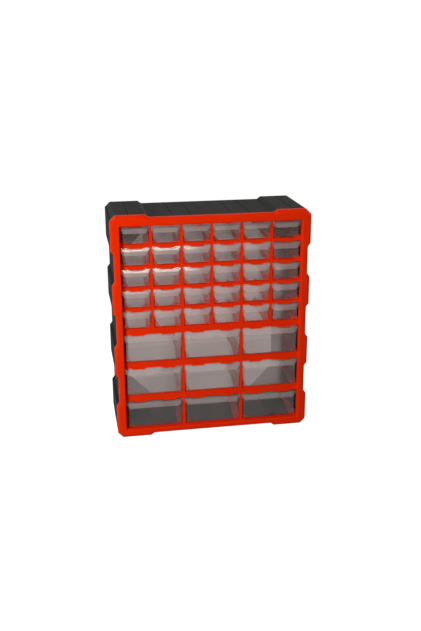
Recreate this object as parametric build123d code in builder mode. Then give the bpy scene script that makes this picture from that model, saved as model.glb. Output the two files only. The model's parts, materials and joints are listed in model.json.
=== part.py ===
# A plastic parts cabinet: a black case with an open-backed shell, an orange front frame,
# orange runner racks, and clear drawers, small ones in the upper rows and large ones below.
# X runs to the right, the front faces -Y and Z is up. The origin is under the middle of the case.
# All lengths are in millimetres, and rows are counted from the top.

import os

from build123d import *

os.makedirs("parts", exist_ok=True)

# Drawer grid
large_columns = 3
small_per_large = 2
small_rows = 5
large_rows = 3
cell_width = 51.6
upright_width = 6.0
small_cell_height = 35.6
small_bar_height = 5.5
large_cell_height = 56.6
large_bar_height = 12.0

# Front frame
border_side = 17.6
border_top = 19.7
border_bottom = 16.5
frame_depth = 14.0
grid_thickness = 5.0
frame_wall = 2.5
channel_depth = 8.0
border_bevel = 4.0
opening_bevel = 1.5

# Stop tabs that hang from the bars
tab_width = 22.0
tab_slope = 4.0
tab_drop = 2.5

# Tongues that hold the frame in the mouth of the case
tongue_thickness = 2.0
tongue_reach = 8.0
side_tongue_length = 30.0
top_tongue_length = 200.0
tongue_gap = 0.3

# Stepped outline of the frame and the case
lug_step = 5.0
lug_slope = 7.0
corner_cut = 10.0
corner_lug_height = 66.0
corner_lug_length = 65.0
side_lug_height = 54.0
side_lug_offset = 61.6

# Case
case_depth = 138.0
case_wall = 2.5
back_wall = 2.5
back_rim_side = 36.0
back_rim_top = 50.0
back_rim_bottom = 22.0
window_cut = 50.0

# Keyholes for hanging the case on a wall
keyhole_spacing = 240.0
keyhole_drop = 30.0
keyhole_diameter = 9.0
keyhole_slot_width = 4.5
keyhole_slot_rise = 10.0

# Runner racks
rib_setback = 0.5
rib_height = 5.0
ledge_reach = 4.0
ledge_thickness = 2.0
bracket_reach = 11.0
bracket_tip_reach = 6.0
bracket_length = 61.0
crossbar_depth = 4.0
rack_setback = 3.0

# Drawers
drawer_side_gap = 1.5
drawer_rest_gap = 0.3
drawer_top_gap = 0.6
drawer_rear_gap = 3.5
drawer_wall = 1.5
drawer_front_wall = 2.3
drawer_rear_rake = 18.0
tab_notch_gap = 0.6

# Pulls, which stand out of the drawer fronts and lap the uprights
pull_seat_gap = 0.3
pull_side_gap = 0.8
pull_overlap = 1.8
pull_reach = 5.8
pull_wall = 1.6
pull_slope = 7.0
pull_lip = 6.5
pull_mitre = 5.5
pull_ear_height = 1.5

# Overall sizes and places that follow from the sizes above
small_columns = large_columns * small_per_large
column_pitch = cell_width + upright_width
large_cell_width = small_per_large * column_pitch - upright_width
cell_margin = pull_overlap + pull_side_gap
opening_width = small_columns * column_pitch - upright_width + 2 * cell_margin
small_zone_height = small_rows * (small_cell_height + small_bar_height) - small_bar_height
large_zone_height = large_rows * (large_cell_height + large_bar_height)
opening_height = small_zone_height + large_zone_height
total_width = opening_width + 2 * border_side
total_height = border_bottom + opening_height + border_top
total_depth = frame_depth + case_depth
opening_top = border_bottom + opening_height
mid_height = total_height / 2
opening_mid_height = border_bottom + opening_height / 2

front_y = -total_depth / 2
frame_back_y = front_y + frame_depth
grid_face_y = frame_back_y - grid_thickness
back_y = total_depth / 2
back_face_y = back_y - back_wall
rack_back_y = back_face_y - rack_setback
drawer_front_y = grid_face_y - pull_seat_gap
drawer_rear_y = back_face_y - drawer_rear_gap
case_floor_z = lug_step + case_wall
rib_thickness = upright_width - 2 * rib_setback
pull_ear_width = drawer_side_gap + pull_overlap
pocket_share = (pull_reach - pull_wall) / pull_reach


def facing_front(y):
    # A plane across the cabinet at depth y, with X to the right, Z up and its normal to the front
    return Plane.XZ.offset(-y)


def row_floors():
    # The kind and the floor height of every row of cells, from the top row to the bottom row
    rows = []
    floor = opening_top
    for _ in range(small_rows):
        floor -= small_cell_height
        rows.append(("small", floor))
        floor -= small_bar_height
    floor += small_bar_height - large_bar_height
    for _ in range(large_rows):
        floor -= large_cell_height
        rows.append(("large", floor))
        floor -= large_bar_height
    return rows


def column_centres(kind):
    count = small_columns if kind == "small" else large_columns
    pitch = column_pitch if kind == "small" else large_cell_width + upright_width
    return [(index - (count - 1) / 2) * pitch for index in range(count)]


def cell_size(kind):
    if kind == "small":
        return cell_width, small_cell_height
    return large_cell_width, large_cell_height


def cell_spans(kind):
    # The left and right edges of the cells of one row, where the end cells reach the sides of the opening
    half = cell_size(kind)[0] / 2
    spans = [[centre - half, centre + half] for centre in column_centres(kind)]
    spans[0][0] = -opening_width / 2
    spans[-1][1] = opening_width / 2
    return spans


def tab_centres():
    # Stop tabs keep to the small columns in every row
    return column_centres("small")


def outline_points():
    # The right half of the stepped outline, from the bottom middle round to the top middle
    half = total_width / 2
    foot = half - corner_lug_length
    points = [(0, lug_step), (foot - lug_slope, lug_step), (foot, 0), (half - corner_cut, 0), (half, corner_cut)]
    points += [(half, corner_lug_height), (half - lug_step, corner_lug_height + lug_slope)]
    for middle in (mid_height - side_lug_offset, mid_height + side_lug_offset):
        low = middle - side_lug_height / 2
        high = middle + side_lug_height / 2
        points += [(half - lug_step, low - lug_slope), (half, low)]
        points += [(half, high), (half - lug_step, high + lug_slope)]
    crown = total_height - corner_lug_height
    points += [(half - lug_step, crown - lug_slope), (half, crown), (half, total_height - corner_cut)]
    points += [(half - corner_cut, total_height), (foot, total_height)]
    points += [(foot - lug_slope, total_height - lug_step), (0, total_height - lug_step)]
    return points


def outline_face(inset):
    # The stepped outline as a face, drawn in by the inset
    with BuildSketch() as face:
        with BuildLine():
            Polyline(outline_points())
            mirror(about=Plane.YZ)
        make_face()
        if inset > 0:
            offset(amount=-inset, kind=Kind.INTERSECTION, mode=Mode.REPLACE)
    return face.sketch


def side_recess_centres():
    # Heights of the middles of the three recesses between the lugs of one side
    low = (corner_lug_height + mid_height - side_lug_offset - side_lug_height / 2) / 2
    return [low, mid_height, total_height - low]


outline = outline_face(0)
outline_inside_frame = outline_face(frame_wall)
outline_inside_case = outline_face(case_wall)
rows = row_floors()

# Front frame: a bevelled border, a channel behind it, a set-back grid, stop tabs and tongues
with BuildPart() as front_frame:
    with BuildSketch(facing_front(frame_back_y)):
        add(outline)
    extrude(amount=frame_depth)
    chamfer(front_frame.faces().sort_by(Axis.Y)[0].edges(), length=border_bevel)
    with BuildSketch(facing_front(frame_back_y)):
        add(outline_inside_frame)
        with Locations((0, opening_mid_height)):
            Rectangle(opening_width + 2 * frame_wall, opening_height + 2 * frame_wall, mode=Mode.SUBTRACT)
    extrude(amount=channel_depth, mode=Mode.SUBTRACT)
    with BuildSketch(facing_front(grid_face_y)):
        with Locations((0, opening_mid_height)):
            Rectangle(opening_width, opening_height)
    extrude(amount=frame_depth - grid_thickness, mode=Mode.SUBTRACT)
    chamfer(front_frame.faces().sort_by(Axis.Y)[0].inner_wires()[0].edges(), length=opening_bevel)
    with BuildSketch(facing_front(frame_back_y)):
        for kind, floor in rows:
            height = cell_size(kind)[1]
            for left, right in cell_spans(kind):
                with Locations(((left + right) / 2, floor + height / 2)):
                    Rectangle(right - left, height)
    extrude(amount=grid_thickness, mode=Mode.SUBTRACT)
    with BuildSketch(facing_front(frame_back_y)):
        for kind, floor in rows:
            ceiling = floor + cell_size(kind)[1]
            for centre in tab_centres():
                with BuildLine():
                    Polyline(
                        (centre - tab_width / 2 - tab_slope, ceiling),
                        (centre - tab_width / 2, ceiling - tab_drop),
                        (centre + tab_width / 2, ceiling - tab_drop),
                        (centre + tab_width / 2 + tab_slope, ceiling),
                        close=True,
                    )
                make_face()
    extrude(amount=grid_thickness)
    tongue_side_x = total_width / 2 - lug_step - case_wall - tongue_gap - tongue_thickness / 2
    tongue_top_z = total_height - lug_step - case_wall - tongue_gap - tongue_thickness / 2
    with BuildSketch(facing_front(frame_back_y + tongue_reach)):
        with Locations([(side * tongue_side_x, z) for side in (-1, 1) for z in side_recess_centres()]):
            Rectangle(tongue_thickness, side_tongue_length)
        with Locations((0, tongue_top_z)):
            Rectangle(top_tongue_length, tongue_thickness)
    extrude(amount=tongue_reach + channel_depth)
front_frame.part.label = "front_frame"
export_step(front_frame.part, "parts/front_frame.step")

# Case: the stepped sleeve with a rim across the back, a large window in the rim and two keyholes
with BuildPart() as case_shell:
    with BuildSketch(facing_front(back_y)):
        add(outline)
    extrude(amount=case_depth)
    with BuildSketch(facing_front(back_face_y)):
        add(outline_inside_case)
    extrude(amount=case_depth - back_wall, mode=Mode.SUBTRACT)
    window_height = total_height - back_rim_top - back_rim_bottom
    with BuildSketch(facing_front(back_y)) as window:
        with Locations((0, back_rim_bottom + window_height / 2)):
            Rectangle(total_width - 2 * back_rim_side, window_height)
        chamfer(window.vertices(), length=window_cut)
    extrude(amount=back_wall, mode=Mode.SUBTRACT)
    keyhole_z = total_height - keyhole_drop
    with BuildSketch(facing_front(back_y)):
        with Locations([(side * keyhole_spacing / 2, keyhole_z) for side in (-1, 1)]):
            Circle(keyhole_diameter / 2)
        with Locations([(side * keyhole_spacing / 2, keyhole_z + keyhole_slot_rise / 2) for side in (-1, 1)]):
            SlotCenterToCenter(keyhole_slot_rise, keyhole_slot_width, rotation=90)
    extrude(amount=back_wall, mode=Mode.SUBTRACT)
case_shell.part.label = "case_shell"
export_step(case_shell.part, "parts/case_shell.step")


def rail_centres(kind):
    # Rails stand behind the uprights and outside the end columns
    centres = column_centres(kind)
    pitch = centres[1] - centres[0]
    return [centres[0] - pitch / 2] + [centre + pitch / 2 for centre in centres]


def ledge_outline(rail, side):
    # The ledge on one side of a rail seen from above: a bracket that narrows to the rear, then a narrow strip
    face = rail + side * rib_thickness / 2
    bracket_end_y = frame_back_y + bracket_length
    return [
        (rail, frame_back_y),
        (face + side * bracket_reach, frame_back_y),
        (face + side * bracket_tip_reach, bracket_end_y),
        (face + side * ledge_reach, bracket_end_y),
        (face + side * ledge_reach, rack_back_y),
        (rail, rack_back_y),
    ]


# Runner racks: one for each row, with a rail and its ledges behind each upright, a low rail at each side
# that runs on to the back rim, and a crossbar at the front
for number, (kind, floor) in enumerate(rows, start=1):
    rails = rail_centres(kind)
    below = small_bar_height if kind == "small" else large_bar_height
    if number == small_rows:
        below = large_bar_height
    if number == len(rows):
        below = border_bottom - case_floor_z
    rib_bottom = floor - below
    ledge_top = floor + ledge_thickness
    rib_top = ledge_top + rib_height
    rack_width = rails[-1] - rails[0] + rib_thickness
    ledges = [(rail, 1) for rail in rails[:-1]] + [(rail, -1) for rail in rails[1:]]
    with BuildPart() as runner_rack:
        with BuildSketch(facing_front(rack_back_y)):
            with Locations([(rail, (rib_bottom + rib_top) / 2) for rail in rails[1:-1]]):
                Rectangle(rib_thickness, rib_top - rib_bottom)
        extrude(amount=rack_back_y - frame_back_y)
        with BuildSketch(facing_front(back_face_y)):
            with Locations([(rail, (rib_bottom + ledge_top) / 2) for rail in (rails[0], rails[-1])]):
                Rectangle(rib_thickness, ledge_top - rib_bottom)
        extrude(amount=back_face_y - frame_back_y)
        with BuildSketch(facing_front(frame_back_y + crossbar_depth)):
            with Locations((0, (rib_bottom + floor) / 2)):
                Rectangle(rack_width, floor - rib_bottom)
        extrude(amount=crossbar_depth)
        with BuildSketch(Plane.XY.offset(floor)):
            for rail, side in ledges:
                with BuildLine():
                    Polyline(ledge_outline(rail, side), close=True)
                make_face()
        extrude(amount=ledge_thickness)
    runner_rack.part.label = f"runner_rack_{number}"
    export_step(runner_rack.part, f"parts/runner_rack_{number}.step")


def pull_outline(centre, half, top, lip, foot):
    # The front outline of a pull, whose ears draw in below to the width of the drawer
    shoulder = foot + lip - pull_ear_height
    return [
        (centre - half, top),
        (centre + half, top),
        (centre + half, shoulder),
        (centre + half - pull_ear_width, foot),
        (centre - half + pull_ear_width, foot),
        (centre - half, shoulder),
    ]


# Drawers: an open box with a raked rear wall, notches that clear the stop tabs and a hollow pull
for number, (kind, floor) in enumerate(rows, start=1):
    width, height = cell_size(kind)
    row_in_kind = number if kind == "small" else number - small_rows
    ceiling = floor + height
    bottom = floor + ledge_thickness + drawer_rest_gap
    top = ceiling - drawer_top_gap
    half = width / 2 - drawer_side_gap
    rake = drawer_rear_rake / (top - bottom)
    rear_wall_across = drawer_wall * (1 + rake ** 2) ** 0.5
    inner_floor = bottom + drawer_wall
    inner_rear = drawer_rear_y - rear_wall_across
    notch_bottom = ceiling - tab_drop - tab_notch_gap
    notch_half = tab_width / 2 + tab_notch_gap
    pull_half = width / 2 + pull_overlap
    lip_half = pull_half - pull_mitre
    lip_top = top - pull_slope
    pull_foot = lip_top - pull_lip
    pocket_half = half - pull_wall * (1 + (pull_mitre / pull_reach) ** 2) ** 0.5
    slope_wall = pull_wall * (1 + (pull_slope / pull_reach) ** 2) ** 0.5
    pocket_sections = [
        (drawer_front_y, pocket_half, notch_bottom - pull_wall),
        (drawer_front_y - pull_reach + pull_wall, pocket_half - pull_mitre * pocket_share,
         top - slope_wall - pull_slope * pocket_share),
    ]
    for column, centre in enumerate(column_centres(kind), start=1):
        name = f"{kind}_drawer_{row_in_kind}_{column}"
        with BuildPart() as drawer:
            with BuildSketch(Plane.YZ.offset(centre)):
                with BuildLine():
                    Polyline(
                        (drawer_front_y, bottom),
                        (drawer_rear_y, bottom),
                        (drawer_rear_y - drawer_rear_rake, top),
                        (drawer_front_y, top),
                        close=True,
                    )
                make_face()
            extrude(amount=half, both=True)
            with BuildSketch(Plane.YZ.offset(centre)):
                with BuildLine():
                    Polyline(
                        (drawer_front_y + drawer_front_wall, inner_floor),
                        (inner_rear - rake * drawer_wall, inner_floor),
                        (inner_rear - drawer_rear_rake, top),
                        (drawer_front_y + drawer_front_wall, top),
                        close=True,
                    )
                make_face()
            extrude(amount=half - drawer_wall, both=True, mode=Mode.SUBTRACT)
            with BuildSketch(facing_front(drawer_front_y)):
                with BuildLine():
                    Polyline(pull_outline(centre, pull_half, top, pull_lip, pull_foot), close=True)
                make_face()
            with BuildSketch(facing_front(drawer_front_y - pull_reach)):
                with BuildLine():
                    Polyline(pull_outline(centre, lip_half, lip_top, pull_lip, pull_foot), close=True)
                make_face()
            loft(ruled=True)
            for depth, side, crown in pocket_sections:
                with BuildSketch(facing_front(depth)):
                    with Locations((centre, (pull_foot + crown) / 2)):
                        Rectangle(2 * side, crown - pull_foot)
            loft(ruled=True, mode=Mode.SUBTRACT)
            with BuildSketch(facing_front(drawer_front_y + drawer_front_wall)):
                for tab in tab_centres():
                    if abs(tab - centre) < width / 2:
                        with BuildLine():
                            Polyline(
                                (tab - notch_half, notch_bottom),
                                (tab + notch_half, notch_bottom),
                                (tab + notch_half + tab_slope, ceiling - tab_notch_gap),
                                (tab + notch_half + tab_slope, ceiling),
                                (tab - notch_half - tab_slope, ceiling),
                                (tab - notch_half - tab_slope, ceiling - tab_notch_gap),
                                close=True,
                            )
                        make_face()
            extrude(amount=drawer_front_wall + pull_reach, mode=Mode.SUBTRACT)
        drawer.part.label = name
        export_step(drawer.part, f"parts/{name}.step")
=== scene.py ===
# Plastic parts cabinet: finishes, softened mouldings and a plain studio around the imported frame
import json
import math

import bmesh
import bpy
from mathutils import Matrix, Vector


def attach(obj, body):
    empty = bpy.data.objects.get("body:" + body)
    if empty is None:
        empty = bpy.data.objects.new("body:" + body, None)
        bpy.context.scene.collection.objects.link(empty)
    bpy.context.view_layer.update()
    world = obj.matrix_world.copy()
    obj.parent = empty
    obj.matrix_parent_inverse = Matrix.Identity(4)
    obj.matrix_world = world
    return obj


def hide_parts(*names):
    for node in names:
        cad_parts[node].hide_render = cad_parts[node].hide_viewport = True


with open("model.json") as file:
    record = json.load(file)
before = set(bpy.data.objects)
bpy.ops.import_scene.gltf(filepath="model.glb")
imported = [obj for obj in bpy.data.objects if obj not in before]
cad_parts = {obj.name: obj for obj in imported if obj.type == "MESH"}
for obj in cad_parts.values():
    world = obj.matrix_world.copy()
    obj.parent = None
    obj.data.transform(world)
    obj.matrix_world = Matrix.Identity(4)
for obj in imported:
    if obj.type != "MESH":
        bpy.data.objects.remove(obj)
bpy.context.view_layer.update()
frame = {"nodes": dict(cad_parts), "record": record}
nodes = frame["nodes"]
record = frame["record"]
scene = bpy.context.scene
bodyOf = {node: body for body, members in record["behaviour"]["bodies"].items() for node in members}
print("frame loaded:", len(nodes), "nodes")


def plug(tree, entry, value):
    # a link where the value is a wire, and a plain number or colour otherwise
    if isinstance(value, Wire):
        tree.links.new(value.socket, entry)
    else:
        entry.default_value = value


class Wire:
    # a node's output, which adds Math nodes when it is used in a sum
    def __init__(self, tree, socket):
        self.tree = tree
        self.socket = socket

    def sum(self, operation, *values):
        made = self.tree.nodes.new("ShaderNodeMath")
        made.operation = operation
        for entry, value in zip(made.inputs, values):
            plug(self.tree, entry, value)
        return Wire(self.tree, made.outputs[0])

    def __add__(self, other):
        return self.sum("ADD", self, other)

    def __radd__(self, other):
        return self.sum("ADD", other, self)

    def __sub__(self, other):
        return self.sum("SUBTRACT", self, other)

    def __rsub__(self, other):
        return self.sum("SUBTRACT", other, self)

    def __mul__(self, other):
        return self.sum("MULTIPLY", self, other)

    def __rmul__(self, other):
        return self.sum("MULTIPLY", other, self)

    def __pow__(self, other):
        return self.sum("POWER", self, other)


class Finish:
    # a node tree and the one way to add a node to it
    def __init__(self, holder):
        self.holder = holder
        holder.use_nodes = True
        self.tree = holder.node_tree
        self.tree.nodes.clear()

    def node(self, kind, settings, entries, output=0):
        made = self.tree.nodes.new("ShaderNode" + kind)
        for name, value in settings.items():
            setattr(made, name, value)
        for name, value in entries.items():
            plug(self.tree, made.inputs[name], value)
        if made.outputs:
            return Wire(self.tree, made.outputs[output])

    def noise(self, scale, stretch=(1, 1, 1), detail=2.0):
        place = self.node("TexCoord", {}, {}, "Object")
        spread = self.node("Mapping", {}, {"Vector": place, "Scale": stretch})
        return self.node("TexNoise", {}, {"Vector": spread, "Scale": scale, "Detail": detail}, "Fac")

    def blend(self, share, first, second):
        # a colour mix has its factor at 0, its colours at 6 and 7 and its result at 2
        return self.node("Mix", {"data_type": "RGBA"}, {0: share, 6: first, 7: second}, 2)

    def ramp(self, value, low, high):
        return self.node("MapRange", {"interpolation_type": "SMOOTHSTEP"}, {
            "Value": value, "From Min": low, "From Max": high})

    def bump(self, height, strength, distance, below=None):
        entries = {"Height": height, "Strength": strength, "Distance": distance}
        if below is not None:
            entries["Normal"] = below
        return self.node("Bump", {}, entries)

    def show(self, shader):
        self.node("OutputMaterial", {}, {"Surface": shader})
        return self.holder

    def surface(self, entries):
        return self.show(self.node("BsdfPrincipled", {}, entries))


def newFinish(name):
    return Finish(bpy.data.materials.new(name))


noiseMiddle = 0.5

orange = {
    "deep": (0.70, 0.020, 0.001, 1), "plain": (0.80, 0.028, 0.002, 1), "grain": 2600.0, "cloud": 22.0,
    "roughness": 0.45, "roughnessSwing": 0.10, "specular": 0.02, "tint": (1.0, 0.25, 0.08, 1),
    "grainBump": 0.06, "grainDepth": 0.0002,
}


def shaded(colour, shade):
    return tuple(shade * part for part in colour[:3]) + (1,)


def orangeFinish(name, shade):
    finish = newFinish(name)
    cloud = finish.noise(orange["cloud"])
    grain = finish.noise(orange["grain"])
    return finish.surface({
        "Base Color": finish.blend(cloud, shaded(orange["deep"], shade), shaded(orange["plain"], shade)),
        "Roughness": orange["roughness"] + orange["roughnessSwing"] * (cloud - noiseMiddle),
        "Specular IOR Level": orange["specular"],
        "Specular Tint": orange["tint"],
        "Normal": finish.bump(grain, orange["grainBump"], orange["grainDepth"]),
    })


black = {
    "deep": (0.006, 0.007, 0.0065, 1), "pale": (0.014, 0.0155, 0.0145, 1), "grain": 1900.0, "streak": 9.0,
    "streakStretch": (6.0, 0.35, 0.35), "streakDetail": 3.0,
    "roughness": 0.70, "roughnessSwing": 0.16, "specular": 0.02,
    "lines": (0.039, 0.073, 0.155), "lineWide": 0.0014, "lineThin": 0.0005, "lineShade": 0.6,
    # the paler colour on the top is a painted sheen
    "topFrom": 0.4345, "topTo": 0.4355, "topPaintedSheen": (0.036, 0.037, 0.036, 1),
    "grainBump": 0.22, "grainDepth": 0.0003, "lineBump": 0.8, "lineDepth": 0.0005,
}


def blackFinish(name):
    # spark-textured black with faint drag marks, and a paler top with mould lines from front to back; the
    # paler top is a painted sheen
    finish = newFinish(name)
    streak = finish.noise(black["streak"], black["streakStretch"], black["streakDetail"])
    grain = finish.noise(black["grain"])
    place = finish.node("TexCoord", {}, {}, "Object")
    across = finish.node("SeparateXYZ", {}, {"Vector": place}, "X")
    upward = finish.node("SeparateXYZ", {}, {"Vector": place}, "Z")
    side = across.sum("ABSOLUTE", across)
    top = finish.ramp(upward, black["topFrom"], black["topTo"])
    marks = 0.0
    for middle in black["lines"]:
        away = side.sum("ABSOLUTE", side - middle)
        marks = finish.ramp(away, black["lineWide"], black["lineThin"]) + marks
    line = top * marks
    groove = finish.bump(1 - line, black["lineBump"], black["lineDepth"])
    plain = finish.blend(streak * (1 - black["lineShade"] * line), black["deep"], black["pale"])
    return finish.surface({
        # the top takes a paler colour, a painted sheen
        "Base Color": finish.blend(top * (1 - line), plain, black["topPaintedSheen"]),
        "Roughness": black["roughness"] + black["roughnessSwing"] * (streak - noiseMiddle),
        "Specular IOR Level": black["specular"],
        "Normal": finish.bump(grain, black["grainBump"], black["grainDepth"], groove),
    })


clear = {
    "tint": (0.988, 0.971, 0.965, 1), "cloud": 30.0, "facing": 0.5,
    "haze": 0.019, "hazeRisePaintedLight": 0.012, "hazeLow": 0.05, "hazeHigh": 0.40, "hazeSwing": 0.012,
    "rearFrost": 0.02, "rearFrom": 0.040, "rearTo": 0.049,
    "pullFrost": 0.12, "pullFrom": -0.0677, "pullTo": -0.0685,
    "milkDeep": (0.50, 0.455, 0.44, 1), "milkPale": (0.74, 0.68, 0.66, 1),
    "milkRoughness": 0.22, "milkSpecular": 0.5,
    "frost": 0.20, "frostColour": (0.90, 0.865, 0.85, 1), "frostFrom": -0.0640, "frostTo": -0.0645,
    "paintedShadeFrostShare": 0.1, "frostLow": 0.05, "frostHigh": 0.10,
    "mirror": 0.022, "mirrorPower": 9.0, "roughness": 0.08,
}


def clearFinish(name):
    # see-through sheet that mirrors at a glancing angle, milkier at the pulls and the rear walls, and
    # milkier higher up as painted light that makes the upper rows lighter
    finish = newFinish(name)
    cloud = finish.noise(clear["cloud"])
    place = finish.node("TexCoord", {}, {}, "Object")
    depth = finish.node("SeparateXYZ", {}, {"Vector": place}, "Y")
    upward = finish.node("SeparateXYZ", {}, {"Vector": place}, "Z")
    rear = finish.ramp(depth, clear["rearFrom"], clear["rearTo"])
    pull = finish.ramp(depth, clear["pullFrom"], clear["pullTo"])
    # more milk higher up is painted light: the upper rows show lighter
    haze = clear["haze"] + clear["hazeRisePaintedLight"] * finish.ramp(upward, clear["hazeLow"], clear["hazeHigh"])
    haze = haze + clear["hazeSwing"] * (cloud - noiseMiddle)
    haze = haze + clear["rearFrost"] * rear + clear["pullFrost"] * pull
    turn = finish.node("LayerWeight", {}, {"Blend": clear["facing"]}, "Facing")
    mirror = clear["mirror"] + (1 - clear["mirror"]) * turn ** clear["mirrorPower"]
    through = finish.node("BsdfTransparent", {}, {"Color": clear["tint"]})
    gloss = finish.node("BsdfAnisotropic", {}, {"Roughness": clear["roughness"]})
    milk = finish.node("BsdfPrincipled", {}, {
        "Base Color": finish.blend(cloud, clear["milkDeep"], clear["milkPale"]),
        "Roughness": clear["milkRoughness"],
        "Specular IOR Level": clear["milkSpecular"],
    })
    sheet = finish.node("MixShader", {}, {0: mirror, 1: through, 2: gloss})
    # the front wall is frosted and glows with the light from the window; it is less frosted in the lowest
    # row, a painted shade that darkens that row
    front = finish.ramp(depth, clear["frostFrom"], clear["frostTo"])
    paintedShadeRamp = finish.ramp(upward, clear["frostLow"], clear["frostHigh"])
    front = front * (clear["paintedShadeFrostShare"] + (1 - clear["paintedShadeFrostShare"]) * paintedShadeRamp)
    glow = finish.node("BsdfTranslucent", {}, {"Color": clear["frostColour"]})
    sheet = finish.node("MixShader", {}, {0: clear["frost"] * front, 1: sheet, 2: glow})
    return finish.show(finish.node("MixShader", {}, {0: haze, 1: sheet, 2: milk}))


# the small-row runners are a lighter copy of the orange (1.15), painted light, and the large-row runners a
# darker copy (0.5), painted shade
shades = {"shell": 1.0, "runner": 1.15, "paintedShadeRunner": 0.5}
orangeShell = orangeFinish("orange_shell", shades["shell"])
runnerOrangePaintedLight = orangeFinish("runner_orange_painted_light", shades["runner"])
runnerOrangePaintedShade = orangeFinish("runner_orange_painted_shade", shades["paintedShadeRunner"])
blackCase = blackFinish("black_case")
clearDrawer = clearFinish("clear_drawer")
print("finishes made")

edges = {
    "weld": 0.00002, "flat": 1.0, "sharp": 18.0, "shortest": 0.0012, "steps": 2, "level": 0.0003,
    "frameRound": 0.0006, "caseRound": 0.0008, "rackRound": 0.0004, "drawerRound": 0.00045,
    "lipRound": 0.0012, "lipSteps": 4, "profile": 0.5, "evenWeight": 100,
}


def roundCorners(mould, corners, radius, steps):
    bmesh.ops.bevel(mould, geom=corners, offset=radius, offset_type="OFFSET", affect="EDGES",
                    segments=steps, profile=edges["profile"], material=-1, clamp_overlap=True)


def sharpEdges(mould):
    limit = math.radians(edges["sharp"])
    sharp = [edge for edge in mould.edges if edge.is_manifold and edge.calc_face_angle() > limit]
    return [edge for edge in sharp if edge.calc_length() > edges["shortest"]]


def roundLip(mould):
    # the foremost edges of a drawer, round the front of its pull, are rounded more
    foremost = min(corner.co.y for corner in mould.verts) + edges["level"]
    lip = [edge for edge in sharpEdges(mould) if max(corner.co.y for corner in edge.verts) < foremost]
    roundCorners(mould, lip, edges["lipRound"], edges["lipSteps"])


def moulding(node, radius, finish, lip=False):
    # a merged copy of a node with rounded corners, which stands for it
    mould = bmesh.new()
    mould.from_mesh(nodes[node].data)
    bmesh.ops.remove_doubles(mould, verts=mould.verts, dist=edges["weld"])
    flat = math.radians(edges["flat"])
    bmesh.ops.dissolve_limit(mould, angle_limit=flat, verts=mould.verts, edges=mould.edges)
    if lip:
        roundLip(mould)
    roundCorners(mould, sharpEdges(mould), radius, edges["steps"])
    shape = bpy.data.meshes.new(node + "_moulding")
    mould.to_mesh(shape)
    mould.free()
    shape.polygons.foreach_set("use_smooth", [True] * len(shape.polygons))
    shape.materials.append(finish)
    piece = bpy.data.objects.new(node + "_moulding", shape)
    scene.collection.objects.link(piece)
    even = piece.modifiers.new("even_normals", "WEIGHTED_NORMAL")
    even.weight = edges["evenWeight"]
    even.keep_sharp = False
    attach(piece, bodyOf[node])
    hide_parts(node)


moulding("front_frame", edges["frameRound"], orangeShell)
moulding("case_shell", edges["caseRound"], blackCase)
smallRows = 5
# small-row racks take the lighter runner orange (painted light), large-row racks the darker one (painted
# shade)
for node in sorted(name for name in nodes if name.startswith("runner_rack")):
    row = int(node.split("_")[-1])
    moulding(node, edges["rackRound"], runnerOrangePaintedLight if row <= smallRows else runnerOrangePaintedShade)
for node in sorted(name for name in nodes if "drawer" in name):
    moulding(node, edges["drawerRound"], clearDrawer, lip=True)
print("mouldings made for", len(nodes), "nodes")

white = (1, 1, 1, 1)
dark = (0, 0, 0, 1)

floorLook = {
    "reach": 30.0, "seen": (0.93, 0.93, 0.93, 1), "bounced": (0.32, 0.32, 0.32, 1), "glow": 0.82,
    "fadeFrom": 0.30, "fadeTo": 0.85, "farGlow": 1.0, "roughness": 0.9, "specular": 0.0,
    "throughPlastic": 0.095,
}


def seenRays(finish):
    # camera, mirrored and refracted rays see a white studio, and a dimmer one through clear plastic
    seen = finish.node("LightPath", {}, {}, "Is Camera Ray")
    mirrored = finish.node("LightPath", {}, {}, "Is Glossy Ray")
    bent = finish.node("LightPath", {}, {}, "Is Transmission Ray")
    layers = finish.node("LightPath", {}, {}, "Transparent Depth")
    direct = 1 - (1 - floorLook["throughPlastic"]) * layers.sum("MINIMUM", layers, 1.0)
    return direct * seen.sum("MAXIMUM", seen.sum("MAXIMUM", seen, mirrored), bent)


def makeFloor():
    # pale near the object, where it takes the shadow, and plain white further out
    sheet = bmesh.new()
    bmesh.ops.create_grid(sheet, x_segments=1, y_segments=1, size=floorLook["reach"])
    shape = bpy.data.meshes.new("studio_floor")
    sheet.to_mesh(shape)
    sheet.free()
    finish = newFinish("studio_floor")
    seen = seenRays(finish)
    place = finish.node("TexCoord", {}, {}, "Object")
    away = finish.node("VectorMath", {"operation": "LENGTH"}, {0: place}, "Value")
    fade = finish.ramp(away, floorLook["fadeFrom"], floorLook["fadeTo"])
    near = finish.node("BsdfPrincipled", {}, {
        "Base Color": finish.blend(seen, floorLook["bounced"], floorLook["seen"]),
        "Roughness": floorLook["roughness"],
        "Specular IOR Level": floorLook["specular"],
        "Emission Color": finish.blend(seen, dark, white),
        "Emission Strength": floorLook["glow"],
    })
    far = finish.node("Emission", {}, {"Color": white, "Strength": floorLook["farGlow"]})
    finish.show(finish.node("MixShader", {}, {0: fade * seen, 1: near, 2: far}))
    shape.materials.append(finish.holder)
    floor = bpy.data.objects.new("studio_floor", shape)
    scene.collection.objects.link(floor)


makeFloor()

sky = {"seen": 1.0, "light": 0.08}
world = bpy.data.worlds.new("studio")
scene.world = world
skyFinish = Finish(world)
skySeen = seenRays(skyFinish)
skyStrength = sky["light"] + (sky["seen"] - sky["light"]) * skySeen
skyLight = skyFinish.node("Background", {}, {"Color": white, "Strength": skyStrength})
skyFinish.node("OutputWorld", {}, {"Surface": skyLight})

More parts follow.
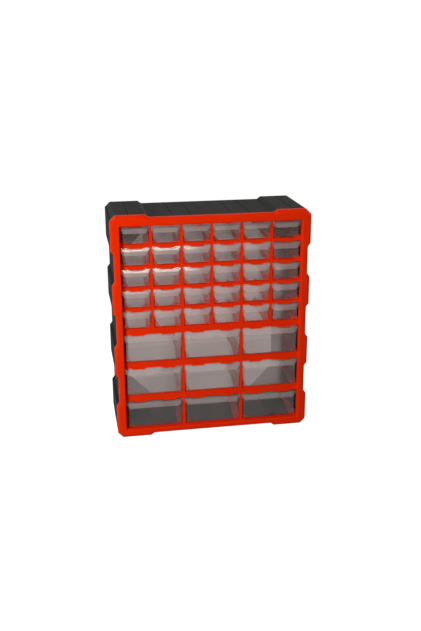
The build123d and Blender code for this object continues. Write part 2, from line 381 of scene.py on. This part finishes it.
lamps = {
    "key": {
        "kind": "AREA", "place": (-1.03, -1.13, 0.62), "aim": (0.0, -0.07, 0.22),
        "settings": {"shape": "RECTANGLE", "size": 0.16, "size_y": 0.16, "energy": 19.0},
    },
    "overhead": {
        "kind": "AREA", "place": (-0.02, -0.60, 1.415), "aim": (-0.086, -0.08, 0.34),
        "settings": {"shape": "RECTANGLE", "size": 0.34, "size_y": 0.11, "energy": 3.9,
                     "color": (1.0, 0.80, 0.68)},
    },
    "fill": {
        "kind": "AREA", "place": (1.25, 0.25, 0.80), "aim": (0.1, 0.0, 0.25),
        "settings": {"shape": "RECTANGLE", "size": 0.5, "size_y": 0.5, "energy": 9.0},
    },
    # a beam from behind passes through the window and lights the frosted fronts, but not the floor
    "window_beam": {
        "kind": "SPOT", "place": (0.30, 1.25, 0.24), "aim": (0.0, 0.0, 0.235), "unseen": True,
        "settings": {"spot_size": 0.37, "spot_blend": 0.15, "shadow_soft_size": 0.06, "energy": 29.0},
    },
}


def aimed(place, aim):
    look = (Vector(aim) - Vector(place)).to_track_quat("-Z", "Y")
    return Matrix.Translation(place) @ look.to_matrix().to_4x4()


for name, lamp in lamps.items():
    light = bpy.data.lights.new(name, lamp["kind"])
    for setting, value in lamp["settings"].items():
        setattr(light, setting, value)
    holder = bpy.data.objects.new(name, light)
    holder.matrix_world = aimed(lamp["place"], lamp["aim"])
    if lamp.get("unseen"):
        holder.visible_camera = False
        holder.visible_glossy = False
    scene.collection.objects.link(holder)
print("studio lit:", len(lamps), "lamps")

view = {
    "place": (-0.27033, -1.57950, 0.74430), "yaw": 0.1745, "pitch": 0.3170, "roll": -0.0044,
    "focal": 839.1, "imageHeight": 631, "sensor": 36.0, "clearLayers": 48,
}


def makeCamera():
    ahead = Vector((math.sin(view["yaw"]) * math.cos(view["pitch"]),
                    math.cos(view["yaw"]) * math.cos(view["pitch"]), -math.sin(view["pitch"])))
    right = Vector((math.cos(view["yaw"]), -math.sin(view["yaw"]), 0))
    above = right.cross(ahead)
    tiltedRight = right * math.cos(view["roll"]) + above * math.sin(view["roll"])
    tiltedAbove = above * math.cos(view["roll"]) - right * math.sin(view["roll"])
    lens = bpy.data.cameras.new("view")
    lens.sensor_fit = "VERTICAL"
    lens.sensor_height = view["sensor"]
    lens.lens = view["focal"] / view["imageHeight"] * view["sensor"]
    camera = bpy.data.objects.new("view", lens)
    turned = Matrix((tiltedRight, tiltedAbove, -ahead)).transposed()
    camera.matrix_world = Matrix.Translation(view["place"]) @ turned.to_4x4()
    scene.collection.objects.link(camera)
    scene.camera = camera


makeCamera()
scene.view_settings.view_transform = "Standard"
scene.cycles.transparent_max_bounces = view["clearLayers"]
print("camera set")
